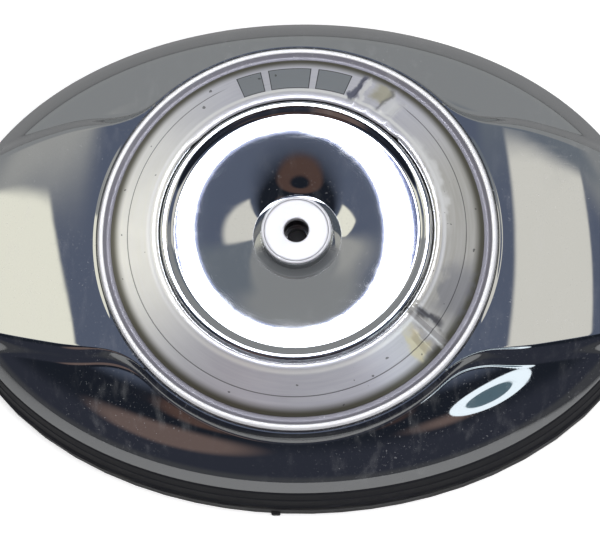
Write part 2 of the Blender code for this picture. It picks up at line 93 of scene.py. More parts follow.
def loft(name, sections, material, sharp=35.0):
    """sections is an array (around, across, 3); both directions close on themselves."""
    sections = np.asarray(sections, float)
    around, across = sections.shape[:2]
    index = np.arange(around * across).reshape(around, across)
    after = np.roll(index, -1, axis=0)
    faces = np.stack([index, after, np.roll(after, -1, axis=1), np.roll(index, -1, axis=1)], axis=-1)
    faces = faces.reshape(-1, 4)
    points = sections.reshape(-1, 3)
    if signed_volume(points, faces) < 0:
        faces = faces[:, ::-1]
    mesh = bpy.data.meshes.new(name)
    mesh.from_pydata(points.tolist(), [], faces.tolist())
    mesh.shade_smooth()
    mesh.set_sharp_from_angle(angle=math.radians(sharp))
    print(name, "lofted from", around, "sections of", across, "points")
    return new_object(name, mesh, material)


# %% Round the corners of an outline
def rounded(outline, steps=5, closed=False):
    """outline lists (r, z, radius); every corner with a radius becomes a short smooth bend."""
    count = len(outline)
    path = []
    for i, (r, z, radius) in enumerate(outline):
        here = np.array((r, z))
        if radius <= 0 or (not closed and i in (0, count - 1)):
            path.append(here)
            continue
        before = np.array(outline[i - 1][:2]) - here
        after = np.array(outline[(i + 1) % count][:2]) - here
        reach_back = min(radius, 0.48 * np.linalg.norm(before))
        reach_on = min(radius, 0.48 * np.linalg.norm(after))
        start = here + before / np.linalg.norm(before) * reach_back
        end = here + after / np.linalg.norm(after) * reach_on
        for t in np.linspace(0, 1, steps + 1):
            path.append((1 - t) ** 2 * start + 2 * t * (1 - t) * here + t * t * end)
    return np.array(path)


def turned(profile, sides=180, centre=(0.0, 0.0)):
    """Carries a closed (r, z) profile round a vertical axis."""
    angles = 2 * np.pi * np.arange(sides) / sides
    profile = np.asarray(profile)
    x = centre[0] + np.cos(angles)[:, None] * profile[None, :, 0]
    y = centre[1] + np.sin(angles)[:, None] * profile[None, :, 0]
    z = np.broadcast_to(profile[None, :, 1], x.shape)
    return np.stack([x, y, z], axis=-1)


def reach(angle, half_length, half_width):
    """Distance from the centre to an oval's edge along a ray."""
    return 1.0 / np.hypot(np.cos(angle) / half_length, np.sin(angle) / half_width)


def oval_sections(outline, sides=480, base=(HALF_LENGTH, HALF_WIDTH)):
    """Carries a closed (growth, z) outline round an oval."""
    angles = 2 * np.pi * (np.arange(sides) + 0.5) / sides
    outline = np.asarray(outline)
    far = reach(angles[:, None], base[0] + outline[None, :, 0], base[1] + outline[None, :, 0])
    z = np.broadcast_to(outline[None, :, 1], far.shape)
    return np.stack([far * np.cos(angles)[:, None], far * np.sin(angles)[:, None], z], axis=-1)


print("lofting tools ready")

# %% [markdown]
# ## Node helpers
# A finish here is a small network of nodes on one Principled shader. Writing each link by
# hand hides what the finish does, so a tiny wrapper adds nodes and returns their sockets.

# %% Node helpers
class Net:
    def __init__(self, tree):
        self.tree = tree

    def add(self, kind, **settings):
        node = self.tree.nodes.new(kind)
        for key, value in settings.items():
            setattr(node, key, value)
        return node

    def feed(self, socket, value):
        if isinstance(value, bpy.types.NodeSocket):
            self.tree.links.new(value, socket)
        else:
            socket.default_value = value

    def math(self, operation, *values, clamp=False):
        node = self.add("ShaderNodeMath", operation=operation, use_clamp=clamp)
        for socket, value in zip(node.inputs, values):
            self.feed(socket, value)
        return node.outputs[0]

    def ramp(self, value, low, high, to_low=0.0, to_high=1.0):
        """A smooth step of value from low to high."""
        node = self.add("ShaderNodeMapRange", interpolation_type="SMOOTHSTEP", clamp=True)
        for socket, number in zip(node.inputs, (value, low, high, to_low, to_high)):
            self.feed(socket, number)
        return node.outputs[0]

    def inside(self, value, low, high, soft):
        """1 between low and high, 0 outside, with soft sides."""
        up = self.ramp(value, low - soft, low + soft)
        down = self.ramp(value, high - soft, high + soft, 1.0, 0.0)
        return self.math("MULTIPLY", up, down)

    def mix(self, share, first, second):
        node = self.add("ShaderNodeMix", data_type="RGBA")
        self.feed(node.inputs[0], share)
        for socket, value in ((node.inputs[6], first), (node.inputs[7], second)):
            self.feed(socket, (*value, 1.0) if isinstance(value, tuple) and len(value) == 3 else value)
        return node.outputs[2]

    def noise(self, scale, detail=4.0, stretch=(1.0, 1.0, 1.0), vector=None, roughness=0.5):
        place = vector or self.add("ShaderNodeTexCoord").outputs["Object"]
        mapping = self.add("ShaderNodeMapping")
        self.feed(mapping.inputs["Vector"], place)
        mapping.inputs["Scale"].default_value = stretch
        node = self.add("ShaderNodeTexNoise")
        self.feed(node.inputs["Vector"], mapping.outputs[0])
        node.inputs["Scale"].default_value = scale
        node.inputs["Detail"].default_value = detail
        node.inputs["Roughness"].default_value = roughness
        return node.outputs[0]

    def bump(self, height, distance, strength=1.0, normal=None):
        node = self.add("ShaderNodeBump")
        node.inputs["Strength"].default_value = strength
        node.inputs["Distance"].default_value = distance
        self.feed(node.inputs["Height"], height)
        if normal:
            self.feed(node.inputs["Normal"], normal)
        return node.outputs[0]


def new_finish(name, colour, roughness, metallic):
    material = bpy.data.materials.new(name)
    material.use_nodes = True
    shader = material.node_tree.nodes["Principled BSDF"]
    shader.inputs["Base Color"].default_value = (*colour, 1.0)
    shader.inputs["Roughness"].default_value = roughness
    shader.inputs["Metallic"].default_value = metallic
    return material, Net(material.node_tree), shader


print("node helpers ready")

# %% [markdown]
# ## Camera
# The housing is looked at from above and a little from its front edge, from about two thirds
# of a metre, with a long lens that lets both ends run out of the frame. The camera is placed
# by its distance and two angles from a point on the face, and turned upright by a hair.

# %% Camera
VIEW_DISTANCE = 0.650
VIEW_TILT = math.radians(17.84)
VIEW_SIDE = math.radians(8.29)
VIEW_ROLL = math.radians(0.73)
FACE_CENTRE = Vector((0.0, 0.0, 0.041))
AIM = Vector((0.00138, -0.01383, 0.041))
LENS_MM, SENSOR_MM = 109.3, 36.0

away = Vector((
    math.sin(VIEW_SIDE) * math.sin(VIEW_TILT),
    -math.cos(VIEW_SIDE) * math.sin(VIEW_TILT),
    math.cos(VIEW_TILT),
))
camera = bpy.data.objects.new("camera", bpy.data.cameras.new("camera"))
bpy.context.scene.collection.objects.link(camera)
station = FACE_CENTRE + away * VIEW_DISTANCE
back = (station - AIM).normalized()
right = Vector((0, 1, 0)).cross(back).normalized()
upright = back.cross(right)
turned_right = right * math.cos(VIEW_ROLL) + upright * math.sin(VIEW_ROLL)
turned_up = upright * math.cos(VIEW_ROLL) - right * math.sin(VIEW_ROLL)
facing = Matrix((turned_right, turned_up, back)).transposed().to_4x4()
camera.matrix_world = Matrix.Translation(station) @ facing
camera.data.sensor_width = SENSOR_MM
camera.data.lens = LENS_MM
camera.data.clip_start = 0.01
bpy.context.scene.camera = camera
bpy.context.scene.view_settings.view_transform = "Standard"
bpy.context.scene.view_settings.look = "None"
print("camera at", [round(v, 4) for v in camera.matrix_world.translation])

# %% [markdown]
# ## Studio
# Polished chrome has no colour of its own: it shows the room. So the room is the most
# important finish of all. It is a sky painted by direction: grey behind the housing, dull
# blue overhead, near black in front, and a large warm softbox on each side. A ready-made sky
# picture would be quicker, but a few painted shapes say exactly where each reflection comes
# from. Two round lamps hang close by, because a lamp at a real distance is mirrored in one
# place only. The pale floor lights the matt pieces, and so does one broad lamp, which the
# chrome doesn't see.

# %% The room that the chrome mirrors
def angle_to(net, parts, direction):
    """Angle in degrees between the looked-at direction and a fixed one."""
    unit = Vector(direction).normalized()
    dot = net.math("ADD", net.math("MULTIPLY", parts[0], unit.x), net.math("MULTIPLY", parts[1], unit.y))
    dot = net.math("ADD", dot, net.math("MULTIPLY", parts[2], unit.z))
    return net.math("DEGREES", net.math("ARCCOSINE", dot))


def lean(across_deg, along_deg):
    """A direction given by its lean from straight up, in degrees towards +X and +Y."""
    total = math.hypot(across_deg, along_deg)
    if total == 0:
        return (0.0, 0.0, 1.0)
    side = math.sin(math.radians(total)) / total
    return (across_deg * side, along_deg * side, math.cos(math.radians(total)))


BACK_GREY = (0.37, 0.38, 0.385)
FRONT_DARK = (0.018, 0.022, 0.032)
LOW_FRONT = (0.040, 0.044, 0.062)
OVERHEAD_BLUE = (0.145, 0.172, 0.245)
LEFT_BOX = (1.30, 1.27, 1.08)
RIGHT_BOX = (1.02, 0.99, 0.90)
LEFT_WALL = (0.52, 0.52, 0.50)
RIGHT_WALL = (0.22, 0.25, 0.29)
BROWN_PATCH = (0.125, 0.076, 0.064)
BROWN_NEAR = (0.21, 0.15, 0.135)
HORIZON_BACK = (0.38, 0.39, 0.39)
HORIZON_FRONT = (0.075, 0.077, 0.085)

# Softboxes, in the plane one metre up: each side is a line, a * x + b * y + c > 0 inside
LEFT_SIDES = ((0, 1, -0.05), (-0.34, -1, 0.20), (-1, -1.22, -0.184), (-1, 0, -0.50), (1, 0, 1.9))
RIGHT_SIDES = ((0, 1, -0.05), (0.27, -1, 0.33), (1, 0, -0.32), (-1, -0.2, 1.12))


def in_box(net, x, y, sides, soft=0.02):
    """1 inside a straight-sided patch of the ceiling, 0 outside."""
    inside = 1.0
    for a, b, c in sides:
        line = net.math("ADD", net.math("MULTIPLY", x, a), net.math("MULTIPLY_ADD", y, b, c))
        inside = net.math("MULTIPLY", net.ramp(line, -soft, soft), inside)
    return inside


def build_room():
    world = bpy.data.worlds.new("room")
    bpy.context.scene.world = world
    world.use_nodes = True
    net = Net(world.node_tree)
    background = world.node_tree.nodes["Background"]
    direction = net.add("ShaderNodeTexCoord").outputs["Generated"]
    split = net.add("ShaderNodeSeparateXYZ")
    net.feed(split.inputs[0], direction)
    parts = split.outputs
    polar = net.math("DEGREES", net.math("ARCCOSINE", parts[2]))
    above = net.math("MAXIMUM", parts[2], 0.02)
    x, y = net.math("DIVIDE", parts[0], above), net.math("DIVIDE", parts[1], above)
    along = net.math("DEGREES", net.math("ARCTANGENT", y))
    front = net.mix(net.ramp(along, -50.0, -22.0), LOW_FRONT, FRONT_DARK)
    colour = net.mix(net.ramp(along, -6.0, 4.0), front, OVERHEAD_BLUE)
    maker = net.inside(angle_to(net, parts, lean(-4.0, -13.0)), 5.5, 12.0, 1.5)
    colour = net.mix(maker, colour, BROWN_PATCH)
    colour = net.mix(net.ramp(along, 27.0, 34.0), colour, BACK_GREY)
    for place, wide in (((-0.52, -0.85, 1.0), 13.0), ((0.36, -0.52, 1.0), 5.0)):
        patch = net.ramp(angle_to(net, parts, place), wide - 4.0, wide + 4.0, 1.0, 0.0)
        colour = net.mix(patch, colour, BROWN_NEAR)
    wall = in_box(net, x, y, ((-1, 0, -0.40), (0.34, 1, -0.20), (0, 1, -0.40), (0, -1, 0.80)), 0.10)
    colour = net.mix(wall, colour, LEFT_WALL)
    wall = in_box(net, x, y, ((1, 0, -0.15), (-0.27, 1, -0.33), (0, -1, 0.70)), 0.05)
    colour = net.mix(wall, colour, RIGHT_WALL)
    colour = net.mix(in_box(net, x, y, LEFT_SIDES), colour, LEFT_BOX)
    colour = net.mix(in_box(net, x, y, RIGHT_SIDES), colour, RIGHT_BOX)
    horizon = net.mix(net.ramp(parts[1], -0.4, 0.1), HORIZON_FRONT, HORIZON_BACK)
    colour = net.mix(net.ramp(polar, 78.0, 86.0), colour, horizon)
    seen = net.add("ShaderNodeLightPath").outputs["Is Camera Ray"]
    colour = net.mix(seen, colour, (1.0, 1.0, 1.0))
    net.feed(background.inputs["Color"], colour)
    print("room painted with", len(world.node_tree.nodes), "nodes")


build_room()

# %% Floor and lamps
FLOOR_HALF = 4.0
FLOOR_DROP = 0.2 * MM  # air under the lowest faces, so none of them lies in the floor's plane
RING_LAMP_PLACE = (-0.0139, 0.0956, 0.342)
SIDE_LAMP_PLACE = (0.125, -0.102, 0.162)
SIDE_LAMP_FACING = (0.386, -0.309, 0.869)
BROAD_LAMP_PLACE = (0.3, -0.4, 1.9)
BROAD_LAMP_SIZE, BROAD_LAMP_POWER = 1.6, 34.0


def build_floor():
    half = FLOOR_HALF
    mesh = bpy.data.meshes.new("floor")
    corners = [(-half, -half, 0), (half, -half, 0), (half, half, 0), (-half, half, 0)]
    mesh.from_pydata(corners, [], [(0, 1, 2, 3)])
    material, net, shader = new_finish("pale_floor", (0.93, 0.93, 0.93), 0.9, 0.0)
    seen = net.add("ShaderNodeLightPath").outputs["Is Camera Ray"]
    net.feed(shader.inputs["Base Color"], net.mix(seen, (0.32, 0.32, 0.32), (0.95, 0.95, 0.95)))
    shader.inputs["Emission Color"].default_value = (1.0, 1.0, 1.0, 1.0)
    net.feed(shader.inputs["Emission Strength"], net.math("MULTIPLY", seen, 0.3))
    floor = new_object("floor", mesh, material)
    floor.location.z = -FLOOR_DROP


def build_lamp(name, place, size, power):
    light = bpy.data.lights.new(name, "AREA")
    light.shape = "DISK"
    light.size = size
    light.energy = power
    lamp = bpy.data.objects.new(name, light)
    bpy.context.scene.collection.objects.link(lamp)
    lamp.location = place
    lamp.rotation_euler = (Vector(place)).to_track_quat("Z", "Y").to_euler()
    lamp.visible_glossy = False
    lamp.visible_camera = False
    return lamp


def build_glow(name, middle, facing, rings):
    """A flat round lamp that only mirrors see. rings lists (outer, inner, shift of each, colour)."""
    facing = Vector(facing).normalized()
    side = Vector((0, 1, 0)).cross(facing).normalized()
    turn = Matrix((side, facing.cross(side), facing)).transposed()
    sides = 96
    for number, (outer, inner, outer_shift, inner_shift, colour) in enumerate(rings):
        points = []
        for radius, shift in ((outer, outer_shift), (inner, inner_shift)):
            for k in range(sides):
                angle = 2 * math.pi * k / sides
                flat = Vector((math.cos(angle) * radius + shift[0], math.sin(angle) * radius + shift[1], 0))
                points.append(Vector(middle) + turn @ flat)
        faces = [(k, (k + 1) % sides, sides + (k + 1) % sides, sides + k) for k in range(sides)]
        mesh = bpy.data.meshes.new(f"{name}_{number}")
        mesh.from_pydata(points, [], faces)
        material, net, shader = new_finish(f"{name}_glow_{number}", (0.0, 0.0, 0.0), 1.0, 0.0)
        shader.inputs["Specular IOR Level"].default_value = 0.0
        shader.inputs["Emission Color"].default_value = (*colour, 1.0)
        shader.inputs["Emission Strength"].default_value = 1.0
        lamp = new_object(f"{name}_{number}", mesh, material)
        lamp.visible_camera = False
        lamp.visible_shadow = False
        lamp.visible_diffuse = False


build_floor()
build_glow("ring_lamp", RING_LAMP_PLACE, (0, 0, 1), (
    (0.052, 0.025, (-0.010, 0.008), (-0.002, 0.002), (11.2, 11.4, 12.0)),
    (0.025, 0.0225, (-0.002, 0.002), (-0.002, 0.002), (0.75, 0.85, 1.45)),
    (0.0225, 0.019, (-0.002, 0.002), (-0.002, 0.002), (0.28, 0.33, 0.60)),
    (0.056, 0.052, (-0.010, 0.008), (-0.010, 0.008), (0.60, 0.68, 1.05)),
))
build_glow("side_lamp", SIDE_LAMP_PLACE, SIDE_LAMP_FACING, (
    (0.034, 0.019, (0, 0), (-0.003, 0), (1.45, 1.6, 1.7)),
    (0.019, 0.0005, (-0.003, 0), (-0.003, 0), (0.14, 0.22, 0.27)),
))
build_lamp("broad_lamp", BROAD_LAMP_PLACE, BROAD_LAMP_SIZE, BROAD_LAMP_POWER)
print("floor and lamp placed")

# %% [markdown]
# ## Chrome
# The cover is steel, polished and chromed, and it has been handled. Chrome is a nearly
# colourless mirror, so most of the cover has one base colour; what tells a used piece from a
# computer's is the surface: wipe marks that turn the mirror slightly milky, hairline
# scratches, dust, and faint waves left by the press. The disc, the bead, the seat beside the
# ring and the front of the dish's foot are duller than the rest, and each carries painted
# light: a painted highlight on the disc and the bead, a painted darker lavender reflection on
# the seat, and painted shade on the front of the foot. A painted shadow line lies just inside
# the disc's edge, and painted shade darkens the groove outside the bead.

# %% Chrome
def radius_and_turn(net):
    """Distance from the axis, the angle round it in degrees, and the height."""
    split = net.add("ShaderNodeSeparateXYZ")
    net.feed(split.inputs[0], net.add("ShaderNodeTexCoord").outputs["Object"])
    x, y, z = split.outputs
    radius = net.math("SQRT", net.math("ADD", net.math("MULTIPLY", x, x), net.math("MULTIPLY", y, y)))
    return radius, net.math("DEGREES", net.math("ARCTAN2", y, x)), z


def ring_pattern(net, radius, turn, scale, detail=2.0):
    """Noise drawn out into long arcs round the axis, as a brush or a polishing wheel leaves it."""
    wrap = net.add("ShaderNodeCombineXYZ")
    net.feed(wrap.inputs[0], radius)
    net.feed(wrap.inputs[1], net.math("MULTIPLY", turn, 0.00005))
    return net.noise(scale, detail, vector=wrap.outputs[0])


CHROME_TONE = (0.56, 0.57, 0.58)
# The next six tones are painted light and shade: highlights on the bead and disc, a reflection on the seat,
# shade on the foot, a shadow line inside the disc's edge and shade in the groove.
BEAD_HIGHLIGHT_TONE = (0.95, 0.95, 0.98)
SEAT_REFLECTION_TONE = (0.30, 0.295, 0.345)
DISC_HIGHLIGHT_TONE = (0.66, 0.66, 0.70)
FOOT_SHADE_TONE = (0.17, 0.18, 0.19)
DISC_SHADOW_LINE_TONE = (0.10, 0.10, 0.13)
GROOVE_SHADE_TONE = (0.03, 0.03, 0.035)
DUST_TONE = (0.60, 0.60, 0.62)


def chrome_finish():
    material, net, shader = new_finish("polished_chrome", CHROME_TONE, 0.05, 1.0)
    radius, turn, height_at = radius_and_turn(net)
    smudge = net.ramp(net.noise(38.0, 6.0, (1.0, 1.0, 1.0), roughness=0.65), 0.48, 0.75)
    wipes = net.ramp(net.noise(26.0, 8.0, (1.0, 7.0, 1.0), roughness=0.7), 0.5, 0.8)
    haze = net.math("MAXIMUM", net.math("MULTIPLY", smudge, 0.5), net.math("MULTIPLY", wipes, 0.6))
    specks = net.ramp(net.noise(1300.0, 2.0), 0.63, 0.82)
    film = net.ramp(net.noise(260.0, 5.0, (1.0, 0.3, 1.0)), 0.50, 0.80, 0.0, 0.22)
    dusty = net.ramp(net.noise(24.0, 3.0), 0.36, 0.62)
    dust = net.math("MULTIPLY", net.math("MAXIMUM", specks, film), dusty)
    # The disc carries a painted highlight: it is made matt and light.
    disc = net.ramp(radius, DISC_R - 0.15 * MM, DISC_R + 0.05 * MM, 1.0, 0.0)
    # Painted shadow: a dark line just inside the disc's edge.
    disc_shadow_line = net.inside(radius, DISC_R - 1.15 * MM, DISC_R - 0.95 * MM, 0.05 * MM)
    # The bead carries a painted highlight: it is made matt and nearly white.
    bead = net.inside(radius, BEAD_R - 0.9 * MM, BEAD_R + 1.2 * MM, 0.1 * MM)
    bead = net.math("MULTIPLY", bead, net.ramp(height_at, SHOULDER_Z + 0.15 * MM, SHOULDER_Z + 0.4 * MM))
    # The seat beside the ring carries a painted reflection: it is made matt, darker and lavender.
    seat = net.inside(radius, RING_OUT - 0.2 * MM, BEAD_R - 0.9 * MM, 0.1 * MM)
    # Painted shade: a near black line in the groove outside the bead, patchy along its length, and duller
    # there.
    groove_shade = net.inside(radius, BEAD_R + 1.35 * MM, BEAD_R + 1.8 * MM, 0.12 * MM)
    groove_shade = net.math("MULTIPLY", groove_shade, net.ramp(net.noise(40.0, 4.0), 0.25, 0.45, 0.6, 0.95))
    # Painted shade: the front of the dish's foot, in front of the disc, is made dark grey and matt.
    front = net.math("MULTIPLY", net.ramp(turn, -170.0, -145.0), net.ramp(turn, -35.0, -10.0, 1.0, 0.0))
    foot_shade = net.math("MULTIPLY", net.ramp(radius, 15.5 * MM, 18.0 * MM, 1.0, 0.0), front)
    foot_shade = net.math("MULTIPLY", foot_shade, net.ramp(radius, DISC_R + 0.05 * MM, DISC_R + 0.15 * MM))
    tone = net.mix(bead, CHROME_TONE, BEAD_HIGHLIGHT_TONE)
    tone = net.mix(seat, tone, SEAT_REFLECTION_TONE)
    tone = net.mix(disc, tone, DISC_HIGHLIGHT_TONE)
    tone = net.mix(foot_shade, tone, FOOT_SHADE_TONE)
    # The painted highlight, reflection and shade bands are made matt, so that their painted tones show.
    painted_light_bands = net.math("MAXIMUM", net.math("MAXIMUM", disc, bead), net.math("MAXIMUM", foot_shade, seat))
    tone = net.mix(disc_shadow_line, tone, DISC_SHADOW_LINE_TONE)
    tone = net.mix(groove_shade, tone, GROOVE_SHADE_TONE)
    net.feed(shader.inputs["Base Color"], net.mix(dust, tone, DUST_TONE))
    matt = net.math("MULTIPLY_ADD", painted_light_bands, 0.72, net.math("MULTIPLY", dust, 0.45))
    net.feed(shader.inputs["Metallic"], net.math("SUBTRACT", 1.0, matt, clamp=True))
    rough = net.math("MULTIPLY_ADD", haze, 0.09, 0.035)
    dull = net.math("MULTIPLY", net.math("MAXIMUM", painted_light_bands, groove_shade), 0.33)
    rough = net.math("ADD", rough, dull)
    net.feed(shader.inputs["Roughness"], rough)
    hair = net.ramp(net.noise(900.0, 2.0, (0.04, 1.0, 1.0)), 0.70, 0.74)
    lathe = net.math("MULTIPLY", ring_pattern(net, radius, turn, 1400.0), disc)
    height = net.math("MULTIPLY_ADD", hair, -0.02, net.noise(55.0, 2.0))
    height = net.math("MULTIPLY_ADD", lathe, 0.25, height)
    net.feed(shader.inputs["Normal"], net.bump(height, 0.00005, 0.3))
    return material


chrome = chrome_finish()
print("chrome mixed")

# %% [markdown]
# ## Cover shell
# One sheet of steel: a rounded hole and disc in the middle, a shallow dish, a seat for the
# trim ring, a rolled bead, and outside them the dome with its two wings. The round middle is
# one outline turned about the axis. The outer face isn't round, so its height comes from a
# formula of x and y, and the sections are rays from the centre, which keeps every ring of
# the grid smooth. A subdivision surface would soften the wing lines, so the grid is fine.

# %% Height of the face outside the bead
def ease(t):
    t = np.clip(t, 0.0, 1.0)
    return t * t * (3 - 2 * t)


def smooth_min(a, b, width):
    h = np.clip(0.5 + 0.5 * (b - a) / width, 0.0, 1.0)
    return b + (a - b) * h - width * h * (1 - h)


def outer_face(x, y):
    along, across = np.abs(x), np.abs(y)
    past = np.maximum(0.0, along - WING_FROM) / (62.0 * MM)
    crown = 1.8 * MM * (across / WING_HALF) ** 2 * ease(past)
    plateau = SHOULDER_Z - WING_DROP * past**2.2 - crown
    level = np.hypot(x / (HALF_LENGTH - BEVEL_LONG), y / (HALF_WIDTH - BEVEL_SHORT))
    dome = BEVEL_Z + DOME_RISE * (1 - np.exp(-np.maximum(0.0, 1 - level) / 0.12))
    half = WING_HALF - 9.0 * MM * (np.maximum(0.0, along - WING_FROM) / (47.0 * MM)) ** 1.5
    outside = smooth_min(across - half, np.hypot(x, y) - DRUM_R, 9.0 * MM)
    on_wing = ease((along - 50.0 * MM) / (35.0 * MM))
    wall = (2.6 + 4.2 * on_wing) * MM
    t = np.clip(outside / wall, 0.0, 1.0)
    fall = (1 - (1 - t) ** 2.4) * (1 - on_wing) + ease(t) * on_wing
    return np.minimum(plateau, plateau + (dome - plateau) * fall)


# Lean of the dish's surface from level, in degrees, at a few radii in millimetres. It is a
# horn: steep beside the disc and flatter towards the rim.
DISH_FOOT_Z = 38.9 * MM
DISH_LEAN = (
    (13.2, 28.0), (15.0, 22.5), (18.0, 17.0), (21.6, 13.2),
    (25.0, 11.7), (30.0, 10.3), (34.5, 9.5), (43.4, 8.0),
)


def dish_curve():
    """(r, z) along the dish from the disc's foot to the rim, summed from the leans."""
    radii = np.linspace(DISH_LEAN[0][0], DISH_LEAN[-1][0], 120)
    leans = np.interp(radii, *zip(*DISH_LEAN))
    leans = np.convolve(np.pad(leans, 4, mode="edge"), np.ones(9) / 9, mode="valid")
    rise = np.tan(np.radians(leans)) * (radii[1] - radii[0])
    heights = DISH_FOOT_Z / MM + np.cumsum(rise)
    return [(r * MM, z * MM, 0.0) for r, z in zip(radii, heights)]


# %% Turned middle of the cover
def cover_middle():
    seat = RING_THICK + GAP
    outline = [
        (HOLE_R, DISC_Z - 0.9 * MM, 0.0),
        (HOLE_R, DISC_Z, 0.5 * MM),
        (DISC_R - 1.5 * MM, DISC_Z, 0.3 * MM),
        (DISC_R - 0.7 * MM, DISC_Z + 0.3 * MM, 0.5 * MM),
        (DISC_R, DISC_Z + 0.1 * MM, 0.4 * MM),
        (DISC_R + 0.35 * MM, DISH_FOOT_Z - 0.15 * MM, 0.4 * MM),
    ]
    outline += dish_curve()
    outline += [
        (44.4 * MM, 46.0 * MM, 0.5 * MM),
        (CREST_R - 1.3 * MM, CREST_Z - 0.1 * MM, 0.7 * MM),
        (CREST_R + 0.6 * MM, CREST_Z, 0.6 * MM),
        (RING_IN - 0.5 * MM, CREST_Z - 1.2 * MM, 0.4 * MM),
        (RING_TOP_R, RING_TOP_Z - seat, 0.4 * MM),
        (RING_OUT + 0.4 * MM, RING_OUT_Z - seat, 0.3 * MM),
        (BEAD_R - 2.0 * MM, RING_OUT_Z - seat, 0.5 * MM),
        (BEAD_R - 0.6 * MM, BEAD_Z, 0.35 * MM),
        (BEAD_R + 0.5 * MM, BEAD_Z, 0.35 * MM),
        (BEAD_R + 1.2 * MM, SHOULDER_Z, 0.2 * MM),
        (DRUM_R, SHOULDER_Z, 0.0),
    ]
    for r, z, radius in outline[::12]:
        print("  middle of the cover at r", round(r / MM, 1), "mm is", round(z / MM, 2), "mm high")
    return rounded(outline, 6)


# %% The whole section along one ray, and the loft
COVER_RAYS = 960
FACE_STEPS = 120


def cover_sections():
    angles = 2 * np.pi * (np.arange(COVER_RAYS) + 0.5) / COVER_RAYS
    middle = cover_middle()
    edge = reach(angles, HALF_LENGTH - BEVEL_LONG, HALF_WIDTH - BEVEL_SHORT)
    rim = reach(angles, HALF_LENGTH, HALF_WIDTH)
    share = np.linspace(0, 1, FACE_STEPS + 1)[1:]
    spots = DRUM_R + (edge - 0.35 * MM - DRUM_R)[:, None] * share[None, :]
    heights = outer_face(spots * np.cos(angles)[:, None], spots * np.sin(angles)[:, None])
    sections = []
    for k, angle in enumerate(angles):
        face = np.stack([spots[k], heights[k]], axis=-1)
        rim_outline = [
            (spots[k, -1], heights[k, -1], 0.0),
            (edge[k], BEVEL_Z, 0.35 * MM),
            (rim[k], RIM_Z, 0.45 * MM),
            (rim[k], RIM_Z - 0.75 * MM, 0.25 * MM),
            (rim[k] - 1.4 * MM, RIM_Z - 0.95 * MM, 0.0),
            (rim[k] - 1.4 * MM, SKIRT_Z, 0.3 * MM),
            (rim[k] - 2.8 * MM, SKIRT_Z, 0.3 * MM),
            (rim[k] - 2.8 * MM, RIM_Z - 0.9 * MM, 0.0),
        ]
        brim = rounded(rim_outline, 4)[1:]
        under = np.concatenate([middle[::3], face[2:-4:4]])[::-1] - (0.0, SHEET)
        loop = np.concatenate([middle, face, brim, under])
        r, z = loop[:, 0], loop[:, 1]
        sections.append(np.stack([r * math.cos(angle), r * math.sin(angle), z], -1))
    return np.array(sections)


cover = loft("chromed_cover", cover_sections(), chrome, 50)
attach(cover, "cover")
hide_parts("cover_shell")

# %% [markdown]
# ## Trim ring
# A spun aluminium ring lies on the cone round the dish. It is brushed in circles, carries a
# thin scribed line, and has three plain matt fields at the back. This one has been bent:
# sharp folds run across it beside the right-hand field, and again at the front right. The
# folds are raised in the mesh, and the finish paints on most of their light and shade. It
# also paints a highlight on the inner lip, shade towards the outer rim, a lighter left side
# and a darker right side.

# %% Brushed aluminium
MARK_FIELDS = ((103.0, 111.0), (86.0, 100.0), (72.0, 83.0))  # angles of the plain matt fields, in degrees
MARK_BAND = (53.5 * MM, 62.5 * MM)
LINE_R = 60.3 * MM
# Radii of a painted highlight on the ring's inner lip
LIP_HIGHLIGHT = (51.7 * MM, 53.1 * MM)
# Radii where painted shade darkens the ring towards its outer rim
RIM_SHADE = (62.6 * MM, 66.0 * MM)

# Painted light and shade: eight marks on the folds, then two broad patches between them.
# Angles in degrees, radii in millimetres, soft edge, colour, strength
FOLD_TONES = (
    (67.2, 69.2, 52.5, 63.5, 0.5, (0.08, 0.09, 0.15), 0.85),
    (64.4, 66.4, 52.0, 64.0, 0.5, (1.0, 1.0, 1.0), 0.90),
    (56.5, 62.5, 56.0, 64.5, 1.5, (0.52, 0.49, 0.33), 0.75),
    (51.0, 56.0, 52.5, 61.0, 1.5, (1.0, 1.0, 1.0), 0.70),
    (56.3, 57.6, 53.0, 65.0, 0.8, (0.16, 0.16, 0.19), 0.60),
    (-35.8, -33.4, 51.0, 62.5, 0.8, (0.07, 0.07, 0.09), 0.85),
    (-39.5, -36.8, 53.0, 66.0, 0.8, (1.0, 1.0, 1.0), 0.55),
    (-46.5, -41.0, 54.5, 64.0, 1.2, (0.80, 0.72, 0.44), 0.70),
    (2.0, 40.0, 50.8, 54.2, 6.0, (1.0, 1.0, 1.0), 0.75),
    (-30.0, -12.0, 55.0, 65.0, 5.0, (0.25, 0.26, 0.32), 0.55),
)


